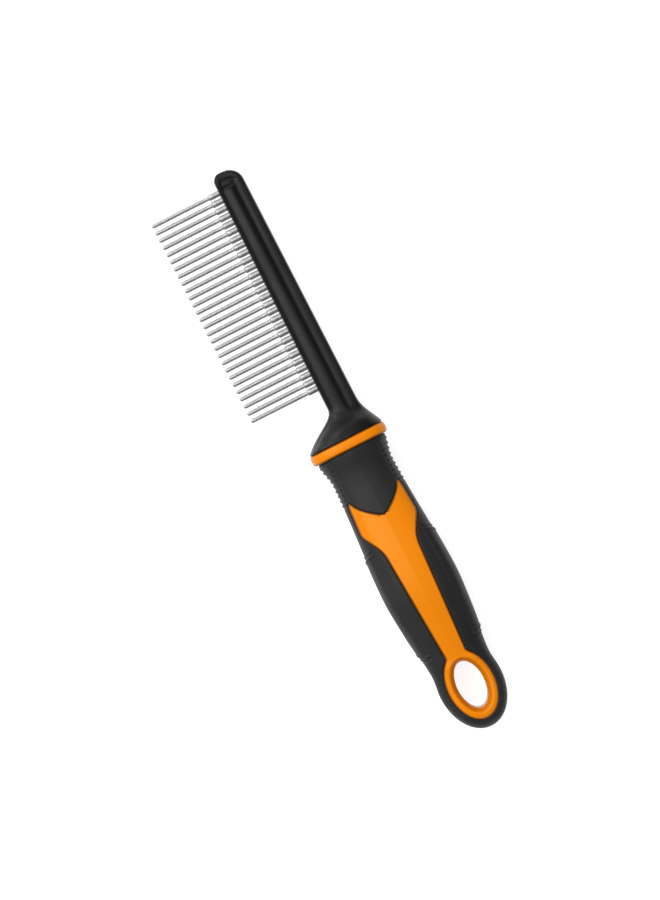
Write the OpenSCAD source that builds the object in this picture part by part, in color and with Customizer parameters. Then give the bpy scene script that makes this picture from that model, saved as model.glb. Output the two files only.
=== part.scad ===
// Grooming comb: round steel pins set in a moulded spine, on a two-material handle.
// X points along the comb to the head's tip, Y points the way the pins do, and Z is
// the thickness. Every piece is drawn about the handle's axis, with x = 0 at the middle
// of the collar, and place() then sets the comb down flat on z = 0.

/* [Pins] */
// Number of pins
pin_count = 28; // [16:1:34]
// Distance from one pin's axis to the next
pin_pitch = 2.75; // [2.5:0.05:4]
// Diameter of a pin's working length
pin_d = 1.5; // [0.8:0.05:2]
// Diameter of a pin's thicker root
pin_root_d = 2.2; // [1.2:0.05:2.4]
// Length of pin that stands out of the spine at its tip
pin_reach = 25.6; // [12:0.2:34]
// How much of that length is the thicker root
pin_root_out = 4.2; // [0.5:0.1:8]
// Depth of each pin's hole in the spine
pin_seat = 6.6; // [4:0.1:7.5]

/* [Spine] */
// Width of the spine at its tip
spine_tip_w = 9.8; // [9:0.1:13]
// Width of the spine where it meets the skirt
spine_root_w = 10.6; // [9:0.1:13]
// Thickness of the spine's edge
spine_t = 5.6; // [4:0.1:8]
// Width of the border round the spine's channel
spine_border = 1.3; // [0.8:0.1:2]
// Depth of the channel
channel_depth = 0.8; // [0.3:0.1:1.2]
// Radius of the round rib along the channel
rib_r = 2.9; // [2.6:0.1:3.6]
// Distance from the rib's middle to the edge that the pins stand on
rib_from_edge = 4; // [3.6:0.1:5]
// Distance from the spine's tip to the rib's end
rib_from_tip = 4.4; // [3:0.1:10]
// Distance from the handle's axis to the middle of the spine
spine_offset = 4.3; // [0:0.1:5]
// Distance from the collar to the nearest pin
first_pin = 21.7; // [16:0.1:30]
// Spine beyond the last pin
tip_margin = 6.1; // [4:0.1:12]

/* [Collar and skirt] */
// Width of the collar
collar_w = 28.2; // [24:0.2:32]
// Thickness of the collar
collar_t = 21; // [18:0.2:24]
// Length of the collar along the handle
collar_l = 4; // [2:0.2:6]
// Length of the flared skirt
skirt_l = 11.6; // [8:0.2:15]

/* [Handle] */
// Length from the middle of the collar to the end
handle_l = 107.4; // [90:0.2:130]
// Distance from the collar's middle to the belly
belly_at = 51.8; // [45:0.2:60]
// Distance from the handle's end to the waist
waist_from_end = 24; // [20:0.2:28]
// Width where the grip starts, behind the collar
grip_start_w = 25.2; // [22:0.2:26]
// Width of the neck
neck_w = 22.4; // [20:0.2:27]
// Width at the belly of the grip
belly_w = 26.8; // [23:0.2:32]
// Width halfway between the belly and the waist
hip_w = 25; // [22:0.1:30]
// Width at the waist before the hanging loop
waist_w = 21.5; // [18:0.1:26]
// Thickness where the grip starts
grip_start_t = 19.4; // [17:0.2:20]
// Thickness of the neck
neck_t = 17.6; // [15:0.2:20]
// Thickness at the belly
belly_t = 21; // [17:0.2:26]
// Thickness at the waist
waist_t = 14.2; // [11:0.2:18]
// Thickness of the hanging loop
loop_t = 13; // [9:0.2:16]
// Length of the ribbed neck
neck_l = 16; // [12:0.5:20]
// Grooves down each side of the neck
groove_count = 9; // [4:1:14]
// Depth of those grooves
groove_depth = 0.6; // [0.2:0.1:1]

/* [Core] */
// Length of the core's wings, from their tips to the shoulders
wing_l = 12.6; // [10:0.2:16]
// Depth of the notch between the wings
notch_l = 8.9; // [6:0.1:11]
// Rubber left beside the wings
wing_edge = 1.8; // [1:0.1:3]
// Length over which the wings narrow to the strip
taper_l = 7.4; // [5:0.2:10]
// Width of the core's strip below the wings
strip_top_w = 12.4; // [9:0.1:15]
// Width of the strip where it meets the ring
strip_end_w = 7.6; // [5:0.1:11]
// How far the core stands proud of the rubber
core_proud = 0.2; // [0:0.05:0.6]
// Rubber round the core inside the neck
neck_wall = 2.6; // [2:0.1:3.4]

/* [Hanging loop] */
// Length of the hole
hole_l = 17.2; // [10:0.2:24]
// Width of the hole
hole_w = 9.6; // [6:0.2:14]
// Width of the core beside the hole
ring_band = 3.6; // [2:0.1:5]
// Width of the core at each end of the hole
ring_end_band = 4; // [2:0.1:6]
// Rubber beside the ring
loop_side = 3; // [2:0.1:5]
// Rubber beyond the ring
loop_end = 3.4; // [2:0.1:6]

/* [Tang] */
// Length of the tang behind the collar's middle
tang_l = 36; // [24:0.5:50]
// Width of the tang
tang_w = 9.6; // [7:0.2:10]
// Thickness of the tang
tang_t = 6.4; // [4:0.2:7]
// Height of the barbs that hold it
barb_h = 0.9; // [0.4:0.1:1.2]

/* [Fits] */
// Gap round the tang in its socket
tang_gap = 0.1; // [0.05:0.05:0.4]
// Gap beyond the tang's end
tang_end_gap = 0.6; // [0.2:0.1:2]
// Gap round a pin's root in its hole
pin_gap = 0.02; // [0.01:0.01:0.1]

/* [Hidden] */

// Points round a lofted section, and the exponent of its superellipse
ring_points = 40;
squareness = 2.8;

// How far the skirt stays inside the collar, and how far the spine runs into the skirt
skirt_inset = 0.2;
spine_overlap = 4;

// Spine
tip_x = first_pin + (pin_count - 1) * pin_pitch + tip_margin;
edge_y = spine_tip_w / 2 - spine_offset;
skirt_x = collar_l / 2 + skirt_l;
tip_corner_r = 2;
tip_back_r = 6;

// Handle, measured backwards from the middle of the collar
loop_half_w = hole_w / 2 + ring_band + loop_side;
ring_half_l = hole_l / 2 + ring_end_band;
loop_half_l = ring_half_l + loop_end;
loop_at = handle_l - loop_half_l;
waist_at = handle_l - waist_from_end;
grip_at = collar_l / 2;
neck_at = grip_at + neck_l * 0.55;
hip_at = (belly_at + waist_at) / 2;
wing_at = grip_at + neck_l;
shoulder_at = wing_at + wing_l;
strip_at = shoulder_at + taper_l;
spigot_w = neck_w - 2 * neck_wall;
spigot_t = neck_t - 2 * neck_wall;

// Half widths and half thicknesses at those places
half_widths = [
    [grip_at, grip_start_w / 2],
    [neck_at, neck_w / 2],
    [belly_at, belly_w / 2],
    [hip_at, hip_w / 2],
    [waist_at, waist_w / 2],
    [loop_at, loop_half_w]
];
half_depths = [
    [grip_at, grip_start_t / 2],
    [neck_at, neck_t / 2],
    [belly_at, belly_t / 2],
    [waist_at, waist_t / 2],
    [loop_at, loop_t / 2]
];

// The comb's box, from which place() finds its middle
y_min = -max(collar_w, belly_w, 2 * spine_offset + spine_root_w) / 2;
y_max = edge_y + pin_reach;
z_min = -max(collar_t, belly_t + 2 * core_proud, 2 * rib_r) / 2;

function pin_name(i) = str("comb_pin_", i < 10 ? "0" : "", i);
function pin_x(i) = first_pin + (i - 1) * pin_pitch;

// Cubic through the points of a table, level at both ends
function steepness(p, i) = i == 0 || i == len(p) - 1 ? 0
    : (p[i + 1].y - p[i - 1].y) / (p[i + 1].x - p[i - 1].x);
function span_of(p, x, i = 0) = i >= len(p) - 2 || x <= p[i + 1].x ? i : span_of(p, x, i + 1);
function smooth(p, x) =
    let (i = span_of(p, x), h = p[i + 1].x - p[i].x, t = (x - p[i].x) / h)
    p[i].y * (1 + 2 * t) * pow(1 - t, 2) + h * steepness(p, i) * t * pow(1 - t, 2)
    + p[i + 1].y * t * t * (3 - 2 * t) + h * steepness(p, i + 1) * t * t * (t - 1);
function bezier(a, b, c, d, t) =
    a * pow(1 - t, 3) + b * 3 * t * pow(1 - t, 2) + c * 3 * t * t * (1 - t) + d * pow(t, 3);

// Half width and half thickness of the handle at a distance behind the collar
function loop_share(d) = min(1, (d - loop_at) / loop_half_l);
function half_width(d) = d < loop_at ? smooth(half_widths, d)
    : loop_half_w * sqrt(1 - pow(loop_share(d), 2));
function half_depth(d) = d < loop_at ? smooth(half_depths, d)
    : loop_t / 2 * sqrt(1 - pow(loop_share(d), 4));

// A rounded section across X, from y_a to y_b and t thick each way
function sgn_pow(v, e) = sign(v) * pow(abs(v), e);
function section(x, y_a, y_b, t, n = squareness) = [
    for (i = [0:ring_points - 1]) let (a = 360 * (i + 0.5) / ring_points)
    [x, (y_a + y_b) / 2 + (y_b - y_a) / 2 * sgn_pow(cos(a), 2 / n), t * sgn_pow(sin(a), 2 / n)]
];

// Skins a list of such sections, closed at both ends; they run towards -X
module loft(sections) {
    n = len(sections[0]);
    last = (len(sections) - 1) * n;
    polyhedron(
        points = [for (s = sections) each s],
        faces = concat(
            [[for (i = [n - 1:-1:0]) i]],
            [for (k = [0:len(sections) - 2]) for (i = [0:n - 1])
                each [[k * n + i, k * n + (i + 1) % n, (k + 1) * n + i],
                      [k * n + (i + 1) % n, (k + 1) * n + (i + 1) % n, (k + 1) * n + i]]],
            [[for (i = [0:n - 1]) last + i]]
        )
    );
}

// Sets the comb down: the middle of its box is over the origin, and its lowest point is at z = 0
module place() {
    translate([(handle_l - tip_x) / 2, -(y_min + y_max) / 2, -z_min]) children();
}

// ---- Head ----

// The spine seen from above: a small corner beside the pins, and a large one behind
module spine_outline() {
    back_y = edge_y - spine_tip_w;
    polygon(concat(
        [[skirt_x - spine_overlap, -spine_offset + spine_root_w / 2]],
        [for (a = [90:-15:0])
            [tip_x - tip_corner_r + tip_corner_r * cos(a), edge_y - tip_corner_r + tip_corner_r * sin(a)]],
        [for (a = [0:-10:-90])
            [tip_x - tip_back_r + tip_back_r * cos(a), back_y + tip_back_r + tip_back_r * sin(a)]],
        [[skirt_x - spine_overlap, -spine_offset - spine_root_w / 2]]
    ));
}

// The shallow channel in each face of the spine
module channels() {
    for (side = [0, 1]) mirror([0, 0, side])
        translate([0, 0, spine_t / 2 - channel_depth]) linear_extrude(spine_t)
            offset(delta = -spine_border) spine_outline();
}

// The round rib that stiffens the spine, with a domed end
module spine_rib() {
    dome = rib_r * 0.85;
    length = tip_x - rib_from_tip - skirt_x + spine_overlap;
    translate([skirt_x - spine_overlap, edge_y - rib_from_edge, 0]) rotate([0, 90, 0])
        rotate_extrude($fn = 48) polygon(concat(
            [[0, 0], [rib_r, 0]],
            [for (a = [0:15:90]) [rib_r * cos(a), length - dome + dome * sin(a)]]
        ));
}

// The skirt flares from the spine's section to the collar's along four Bezier curves
module skirt() {
    steps = 10;
    half_w = collar_w / 2 - skirt_inset;
    half_t = collar_t / 2 - skirt_inset;
    back = -spine_offset - spine_root_w / 2;
    front = -spine_offset + spine_root_w / 2;
    loft([
        for (k = [0:steps]) let (
            t = k / steps,
            x = bezier(skirt_x, skirt_x - skirt_l * 0.35, collar_l / 2 + skirt_l * 0.5, collar_l / 2, t),
            y_a = bezier(back, back, -half_w * 0.8, -half_w, t),
            y_b = bezier(front, front, half_w * 0.66, half_w, t),
            z = bezier(rib_r, rib_r, half_t * 0.8, half_t, t)
        ) section(x, y_a, y_b, z, squareness + 1.6 * (1 - t))
    ]);
}

// The tang and its four barbs; the socket is the same shape, grown by the gap
module tang(gap = 0, end_gap = 0) {
    length = tang_l + end_gap;
    barb_l = 3;
    barb_land = 0.6;
    root = -tang_w / 4;
    translate([-length, -tang_w / 2 - gap, -tang_t / 2 - gap])
        cube([length + collar_l, tang_w + 2 * gap, tang_t + 2 * gap]);
    for (at = [tang_l * 0.6, tang_l * 0.85]) for (side = [0, 1]) mirror([0, side, 0])
        translate([-at, tang_w / 2 + gap, 0]) linear_extrude(tang_t * 0.6 + 2 * gap, center = true)
            polygon([[-barb_l - gap, root], [gap, root], [gap, barb_h],
                [-barb_land, barb_h], [-barb_l - gap, 0]]);
}

module comb_head() {
    color([0.07, 0.07, 0.07]) difference() {
        union() {
            difference() {
                linear_extrude(spine_t, center = true) spine_outline();
                channels();
            }
            spine_rib();
            skirt();
            tang();
        }
        for (i = [1:pin_count])
            translate([pin_x(i), edge_y - pin_seat, 0]) rotate([-90, 0, 0])
                cylinder(d = pin_root_d + 2 * pin_gap, h = pin_seat + spine_root_w, $fn = 32);
    }
}

// ---- Pins ----

// One pin: two ring grooves anchor its end in the spine, and its tip is round
module pin(i) {
    r = pin_d / 2;
    root_r = pin_root_d / 2;
    length = pin_seat + pin_reach;
    step = pin_seat + pin_root_out;
    taper = 0.6;
    groove_w = pin_seat * 0.12;
    groove_r = root_r - 0.15;
    color([0.78, 0.78, 0.8]) translate([pin_x(i), edge_y - pin_seat, 0]) rotate([-90, 0, 0])
        rotate_extrude($fn = 32) polygon(concat(
            [[0, 0], [root_r, 0]],
            [for (z = [pin_seat * 0.25, pin_seat * 0.5]) each [
                [root_r, z], [groove_r, z + groove_w / 4],
                [groove_r, z + groove_w * 3 / 4], [root_r, z + groove_w]
            ]],
            [[root_r, step - taper], [r, step]],
            [for (a = [0:15:90]) [r * cos(a), length - r + r * sin(a)]]
        ));
}

// ---- Handle ----

// The handle's outer form behind the collar, grown by a small amount
module handle_form(grow = 0) {
    body = [for (k = [0:26]) grip_at + (loop_at - grip_at) * k / 26];
    end = [for (k = [1:9]) loop_at + loop_half_l * sin(86 * k / 9) / sin(86.2)];
    loft([for (d = concat(body, end))
        section(-d, -half_width(d) - grow, half_width(d) + grow, half_depth(d) + grow)]);
}

module oval(length, width) {
    polygon([for (a = [0:7.5:352.5]) [length / 2 * cos(a), width / 2 * sin(a)]]);
}

// The part of the core that shows: two wings, a strip and a ring, seen from above
module window_outline() {
    tip_w = 1.6;
    tip_y = half_width(wing_at) - wing_edge - tip_w * 0.2;
    notch = [for (t = [0:0.2:1]) [
        wing_at + bezier(notch_l, notch_l * 0.66, notch_l * 0.33, 0, t),
        bezier(0, tip_y * 0.5, tip_y * 0.83, tip_y, t)]];
    outer = [
        [wing_at + tip_w, half_width(wing_at + tip_w) - wing_edge],
        [shoulder_at, half_width(shoulder_at) - wing_edge],
        [strip_at, strip_top_w / 2],
        [loop_at - ring_half_l, strip_end_w / 2],
        [loop_at, strip_end_w / 2]
    ];
    half = concat(notch, outer);
    offset(r = 0.4, $fn = 24) offset(delta = -0.4)
    offset(r = -1.6, $fn = 24) offset(delta = 1.6) {
        polygon(concat(
            [for (p = half) [-p.x, p.y]],
            [for (i = [len(half) - 1:-1:0]) [-half[i].x, -half[i].y]]
        ));
        translate([-loop_at, 0]) oval(2 * ring_half_l, hole_w + 2 * ring_band);
    }
}

module spigot() {
    translate([-shoulder_at, 0, 0]) rotate([90, 0, 90]) linear_extrude(shoulder_at)
        polygon([for (a = [0:15:345])
            [spigot_w / 2 * sgn_pow(cos(a), 0.5), spigot_t / 2 * sgn_pow(sin(a), 0.5)]]);
}

// The collar's rim is rounded like a bead
module collar() {
    bead = 1.1;
    loft([for (k = [-4:4]) let (x = collar_l / 2 * k / 4, drop = bead * (1 - sqrt(1 - pow(k / 4.6, 4))))
        section(-x, drop - collar_w / 2, collar_w / 2 - drop, collar_t / 2 - drop)]);
}

module handle_core() {
    color([1, 0.55, 0.02]) difference() {
        union() {
            collar();
            spigot();
            intersection() {
                handle_form(core_proud);
                translate([0, 0, -belly_t]) linear_extrude(2 * belly_t) window_outline();
            }
        }
        tang(tang_gap, tang_end_gap);
        translate([-loop_at, 0, -belly_t]) linear_extrude(2 * belly_t) oval(hole_l, hole_w);
    }
}

// Scallops down both sides of the neck
module neck_grooves() {
    pitch = neck_l / (groove_count + 0.3);
    r = pitch * 0.42;
    for (k = [0:groove_count - 1]) for (side = [-1, 1]) let (d = grip_at + pitch * (k + 0.6))
        translate([-d, side * (half_width(d) + r - groove_depth), 0])
            cylinder(r = r, h = 2 * belly_t, center = true, $fn = 24);
}

module rubber_grip() {
    color([0.17, 0.17, 0.18]) difference() {
        handle_form();
        spigot();
        translate([0, 0, -belly_t]) linear_extrude(2 * belly_t) window_outline();
        neck_grooves();
    }
}

place() comb_head();
for (i = [1:pin_count]) place() pin(i);
place() handle_core();
place() rubber_grip();
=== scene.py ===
"""Looks for a grooming comb: steel pins in a black moulded head, on a two-material handle.

Shapes are drawn in millimetres about the handle's axis: x runs from the middle of the collar
towards the head's tip, y the way the pins point, and z up. Distances behind the collar are d = -x.
settle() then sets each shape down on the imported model, in metres.
"""

import math

import bmesh
import bpy
from mathutils import Matrix, Vector


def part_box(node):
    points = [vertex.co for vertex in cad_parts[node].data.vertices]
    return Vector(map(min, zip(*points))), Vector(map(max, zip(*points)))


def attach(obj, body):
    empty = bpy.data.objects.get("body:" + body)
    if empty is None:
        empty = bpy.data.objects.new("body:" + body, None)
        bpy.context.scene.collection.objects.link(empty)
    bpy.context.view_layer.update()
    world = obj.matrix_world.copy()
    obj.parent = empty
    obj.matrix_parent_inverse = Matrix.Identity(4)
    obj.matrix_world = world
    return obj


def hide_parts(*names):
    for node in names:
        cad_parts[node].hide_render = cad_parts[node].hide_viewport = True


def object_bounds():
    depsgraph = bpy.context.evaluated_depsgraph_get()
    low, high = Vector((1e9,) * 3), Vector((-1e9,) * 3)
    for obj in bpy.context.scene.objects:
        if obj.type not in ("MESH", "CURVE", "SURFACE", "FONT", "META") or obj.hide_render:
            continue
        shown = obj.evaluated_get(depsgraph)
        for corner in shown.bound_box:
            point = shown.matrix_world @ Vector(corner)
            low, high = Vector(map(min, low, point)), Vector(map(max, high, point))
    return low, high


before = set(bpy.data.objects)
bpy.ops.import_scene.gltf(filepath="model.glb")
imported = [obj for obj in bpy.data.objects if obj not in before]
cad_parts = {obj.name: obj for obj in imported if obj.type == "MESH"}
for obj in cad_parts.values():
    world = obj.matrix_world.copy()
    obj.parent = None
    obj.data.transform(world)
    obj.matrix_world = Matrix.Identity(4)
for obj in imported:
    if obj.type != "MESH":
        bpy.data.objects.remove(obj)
cad_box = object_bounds()

# ---- Sizes, in millimetres ----

MM = 0.001

PIN_COUNT = 28
PIN_R = 0.75
PIN_ROOT_R = 1.1
PIN_SEAT = 6.6
PIN_REACH = 25.6
PIN_ROOT_OUT = 4.2

TIP_X = 102.05
EDGE_Y = 0.6
SPINE_TIP_W = 9.8
SPINE_ROOT_W = 10.6
SPINE_OFFSET = 4.3
SKIRT_X = 13.6
SKIRT_L = 11.6
SKIRT_INSET = 0.2
SKIRT_NECK_T = 2.9

COLLAR_W = 28.12
COLLAR_T = 21.0
COLLAR_L = 4.0
COLLAR_BEAD = 1.2

GRIP_AT = 2.0
WING_AT = 18.0
SHOULDER_AT = 30.6
STRIP_AT = 38.0
LOOP_AT = 91.4
LOOP_HALF_L = 15.99
LOOP_HALF_W = 11.4
LOOP_HALF_T = 6.5
RING_HALF_L = 12.6
RING_HALF_W = 8.4
BOWL_HALF_L = 10.2
BOWL_HALF_W = 6.4
HOLE_HALF_L = 8.6
HOLE_HALF_W = 4.8
NOTCH_L = 8.9
WING_EDGE = 1.8
STRIP_END_AT = LOOP_AT - 11
STRIP_TOP_Y = 6.2
STRIP_END_Y = 3.8
CORE_PROUD = 0.16
SQUARENESS = 2.8

# The handle's half width and half thickness at some distances behind the collar.
HALF_WIDTHS = [(2, 12.6), (10.8, 11.2), (51.8, 13.4), (67.6, 12.5), (83.4, 10.75), (91.4, 11.4)]
HALF_DEPTHS = [(2, 9.7), (10.8, 8.8), (51.8, 10.5), (83.4, 7.1), (91.4, 6.5)]

LIP = 0.5
SEAM = 0.1
KEEL = 0.035
KEEL_REACH = 5.0
KEEL_ROUND = 0.15
OVERLAP = 0.1
# So far from an edge that nothing is rounded.
FAR_IN = 9.0
# Levels of a hidden wall: (share of its spread, share of its height).
WALL_STEPS = [(0.4, 0.92), (0.99, 0.8), (1.0, 0.4), (1.0, 0.0)]

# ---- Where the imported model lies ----


def axis_origin():
    """The middle of the collar on the handle's axis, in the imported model's metres."""
    _, head_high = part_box("comb_head")
    grip_low, grip_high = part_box("rubber_grip")
    core_low, core_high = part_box("handle_core")
    return Vector((
        head_high[0] - TIP_X * MM,
        (grip_low[1] + grip_high[1]) / 2,
        (core_low[2] + core_high[2]) / 2,
    ))


ORIGIN = axis_origin()


def settle(bm):
    """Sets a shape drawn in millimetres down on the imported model."""
    place = Matrix.Translation(ORIGIN) @ Matrix.Scale(MM, 4)
    bmesh.ops.transform(bm, matrix=place, verts=bm.verts)


# ---- Small sums ----


def mix(a, b, t):
    """From a at t = 0 to b at t = 1."""
    return a + (b - a) * t


def step(lo, hi, v):
    """0 below lo, 1 above hi, and smooth between them."""
    t = min(1.0, max(0.0, (v - lo) / (hi - lo)))
    return t * t * (3 - 2 * t)


def bump(v, width):
    """1 at v = 0, fading out over about width each way."""
    return math.exp(-(v / width) ** 2)


def soft_min(a, b, k):
    """The lower of two values, with the corner between them rounded over about k."""
    h = max(k - abs(a - b), 0.0) / k
    return min(a, b) - h * h * k / 4


def soft_max(a, b, k):
    return -soft_min(-a, -b, k)


def bezier(a, b, c, e, t):
    """A cubic curve from a to e."""
    s = 1 - t
    return a * s ** 3 + 3 * b * s * s * t + 3 * c * s * t * t + e * t ** 3


def table(points, x):
    """Cubic through the points of a table, level at both ends."""
    i = 0
    while i < len(points) - 2 and x > points[i + 1][0]:
        i += 1
    (x0, y0), (x1, y1) = points[i], points[i + 1]

    def slope(k):
        if k in (0, len(points) - 1):
            return 0.0
        return (points[k + 1][1] - points[k - 1][1]) / (points[k + 1][0] - points[k - 1][0])

    h = x1 - x0
    t = min(1.0, max(0.0, (x - x0) / h))
    rise = h * slope(i) * t * (1 - t) ** 2 + h * slope(i + 1) * t * t * (t - 1)
    return y0 * (1 + 2 * t) * (1 - t) ** 2 + y1 * t * t * (3 - 2 * t) + rise


def places(start, stop, gap, zones=()):
    """Places from start to stop about gap apart, closer inside each zone (from, to, gap)."""
    found = [start]
    while found[-1] < stop:
        here = found[-1]
        fine = [z[2] for z in zones if z[0] - z[2] <= here < z[1]]
        near = [z[0] - here for z in zones if z[0] > here]
        pace = min([gap] + fine)
        if not fine and near:
            pace = min(pace, max(min(near), 0.02))
        found.append(here + pace)
    share = (stop - start) / (found[-1] - start)
    return [start + (p - start) * share for p in found]


# ---- Mesh helpers ----


def new_shape():
    bm = bmesh.new()
    bm.verts.layers.float.new("edge")
    return bm


def sheet(bm, along, across, place):
    """A net of faces. place(a, b) gives each corner's point and its edge value, 0 to 1: mostly how near
    it is to an edge, and on the core's bowl a fixed amount of painted shade.
    """
    rows = len(along) - 1
    cols = len(across) - 1
    edge = bm.verts.layers.float["edge"]
    net = bmesh.ops.create_grid(bm, x_segments=rows, y_segments=cols, size=0.5)
    for v in net["verts"]:
        a = along[round((v.co.x + 0.5) * rows)]
        b = across[round((v.co.y + 0.5) * cols)]
        point, near = place(a, b)
        v.co = point
        v[edge] = near


def merge(bm, gap=0.004):
    bmesh.ops.remove_doubles(bm, verts=bm.verts, dist=gap)
    bmesh.ops.dissolve_degenerate(bm, edges=bm.edges, dist=0.001)


def mirror(bm, axis):
    """Adds the mirror image across an axis and joins the two along the middle."""
    everything = bm.verts[:] + bm.edges[:] + bm.faces[:]
    bmesh.ops.mirror(bm, geom=everything, matrix=Matrix(), merge_dist=0.002, axis=axis)


def walls_to_middle(bm, spread=0.0, keep=None):
    """Walls drop from every open edge above the middle plane, spread a little, and go down to it."""
    rim = [e for e in bm.edges if e.is_boundary and max(v.co.z for v in e.verts) > 0.01]
    loose = [e for e in rim if keep is None or keep(e)]
    inside = {v: sum((f.calc_center_median() for f in v.link_faces), Vector()) / len(v.link_faces)
              for e in loose for v in e.verts}
    out = {v: Vector() for v in inside}
    for e in loose:
        a, b = e.verts
        across = (b.co - a.co).cross(Vector((0, 0, 1)))
        if across.dot(a.co + b.co - inside[a] - inside[b]) < 0:
            across = -across
        out[a] += across
        out[b] += across
    starts = {v: (v.co.copy(), Vector((way.x, way.y, 0)).normalized()) for v, way in out.items()}
    for outward, height in WALL_STEPS:
        made = bmesh.ops.extrude_edge_only(bm, edges=loose)["geom"]
        loose = [e for e in made if isinstance(e, bmesh.types.BMEdge) and e.is_boundary]
        fresh = {}
        for v in made:
            if isinstance(v, bmesh.types.BMVert):
                above = min((e.other_vert(v) for e in v.link_edges if e.other_vert(v) in starts),
                            key=lambda o: (o.co - v.co).length)
                fresh[v] = starts[above]
        for v, (start, way) in fresh.items():
            v.co = start + way * spread * outward
            v.co.z = start.z * height
        starts = fresh


def close_ends(bm):
    """Fills what is still open, such as the hidden face against the collar."""
    bmesh.ops.holes_fill(bm, edges=[e for e in bm.edges if e.is_boundary], sides=0)


def face_outwards(bm):
    """Turns the faces of every closed shell outwards."""
    bmesh.ops.recalc_face_normals(bm, faces=bm.faces)
    bm.normal_update()
    left = set(bm.faces)
    while left:
        start = left.pop()
        shell = {start}
        reach = [start]
        while reach:
            for edge in reach.pop().edges:
                fresh = set(edge.link_faces) - shell
                shell |= fresh
                reach.extend(fresh)
        left -= shell
        if sum(f.calc_center_median().dot(f.normal) * f.calc_area() for f in shell) < 0:
            bmesh.ops.reverse_faces(bm, faces=list(shell))


def add_object(name, data):
    made = bpy.data.objects.new(name, data)
    bpy.context.scene.collection.objects.link(made)
    return made


def add_mesh(bm, name):
    """Makes an object of a shape and frees the shape."""
    mesh = bpy.data.meshes.new(name)
    bm.to_mesh(mesh)
    bm.free()
    return add_object(name, mesh)


SHARP_ANGLE = math.radians(50)


def finish_piece(bm, name, material, node):
    """Makes a shape a piece that stands for a CAD node, on the one body."""
    face_outwards(bm)
    for f in bm.faces:
        f.smooth = True
    for e in bm.edges:
        if len(e.link_faces) == 2 and e.calc_face_angle(0) > SHARP_ANGLE:
            e.smooth = False
    settle(bm)
    piece = add_mesh(bm, name)
    piece.data.materials.append(material)
    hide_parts(node)
    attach(piece, "root")


# ---- The handle's form ----


def half_width(d):
    """Half width of the plain form at d, with the oval end behind the ring's middle."""
    if d < LOOP_AT:
        return table(HALF_WIDTHS, d)
    share = min(1.0, (d - LOOP_AT) / LOOP_HALF_L)
    return LOOP_HALF_W * math.sqrt(1 - share ** 2)


def half_depth(d):
    """Half thickness of the plain form at d."""
    if d < LOOP_AT:
        return table(HALF_DEPTHS, d)
    share = min(1.0, (d - LOOP_AT) / LOOP_HALF_L)
    return LOOP_HALF_T * math.sqrt(1 - share ** 4)


def form_height(d, y):
    """Height of the handle's plain form above the middle plane."""
    width = max(half_width(d), 1e-6)
    share = min(1.0, abs(y) / width)
    off_middle = math.hypot(y, KEEL_ROUND) - KEEL_ROUND
    keel = 1 - KEEL * (1 - math.exp(-off_middle / KEEL_REACH))
    return half_depth(d) * keel * (1 - share ** SQUARENESS) ** (1 / SQUARENESS)


def form_normal(d, y, z):
    """Outward direction of the form there, as (along d, y, z)."""
    n = SQUARENESS
    small = 0.05
    d = min(d, LOOP_AT + LOOP_HALF_L - 2 * small)
    a = max(half_width(d), 0.2)
    b = max(half_depth(d), 0.2)
    da = (half_width(d + small) - half_width(d - small)) / (2 * small)
    db = (half_depth(d + small) - half_depth(d - small)) / (2 * small)
    qy = abs(y) / a
    qz = abs(z) / b
    along = -(qy ** n) * da / a - (qz ** n) * db / b
    out = Vector((along, qy ** (n - 1) / a * (1 if y >= 0 else -1), qz ** (n - 1) / b))
    return out.normalized()


# ---- The core's window, seen from above ----

NOTCH_ROUND = 0.45
NOTCH_APEX = WING_AT + NOTCH_L - NOTCH_ROUND
TIP_Y = 9.3
WING_ROUND = 0.32
WING_ROUND_L = 0.9
JOIN_AT = LOOP_AT - 10.9
WINDOW_ZONES = [
    (WING_AT, WING_AT + 0.12, 0.02),
    (WING_AT + 0.12, WING_AT + 1.0, 0.1),
    (NOTCH_APEX - 0.6, NOTCH_APEX - 0.1, 0.08),
    (NOTCH_APEX - 0.1, NOTCH_APEX, 0.015),
    (SHOULDER_AT - 1.5, SHOULDER_AT + 1.5, 0.25),
    (STRIP_AT - 2, STRIP_AT + 2, 0.3),
]


def tip_round(d):
    """How far the rounded wing tip has opened at d, each way."""
    share = min(1.0, max(0.0, (d - WING_AT) / WING_ROUND_L))
    return WING_ROUND * math.sqrt(1 - (1 - share) ** 2)


def notch_reach(gap):
    """A distance from the notch's apex, stretched so that the apex is round."""
    return math.sqrt(gap * gap + 2 * gap * NOTCH_ROUND)


def notch_y(d):
    """Half width of the notch between the wings."""
    if d >= NOTCH_APEX:
        return 0.0
    share = min(1.0, notch_reach(NOTCH_APEX - d) / notch_reach(NOTCH_APEX - WING_AT))
    rounding_off = tip_round(d) * step(3.0, 0.5, d - WING_AT)
    return bezier(0, 0.52, 0.83, 1, share) * TIP_Y - rounding_off


def ring_y(d):
    share = (d - LOOP_AT) / RING_HALF_L
    return RING_HALF_W * math.sqrt(max(0.0, 1 - share * share))


def window_y(d):
    """Half width of the window at d: wings, strip and ring."""
    wing = soft_min(TIP_Y + 0.3 * (d - WING_AT), half_width(d) - WING_EDGE, 0.5) + tip_round(d) - 0.1
    wing = TIP_Y + (wing - TIP_Y) * min(1.0, (d - WING_AT) / 0.5)
    taper = mix(half_width(SHOULDER_AT) - WING_EDGE, STRIP_TOP_Y,
                (d - SHOULDER_AT) / (STRIP_AT - SHOULDER_AT))
    strip = mix(STRIP_TOP_Y, STRIP_END_Y, (d - STRIP_AT) / (STRIP_END_AT - STRIP_AT))
    y = soft_max(soft_min(wing, taper, 1.0), strip, 1.4)
    if d > LOOP_AT - RING_HALF_L:
        y = soft_max(y, ring_y(d), 1.2) if d < LOOP_AT - 6 else ring_y(d)
    return max(y, 0.0)


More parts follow.
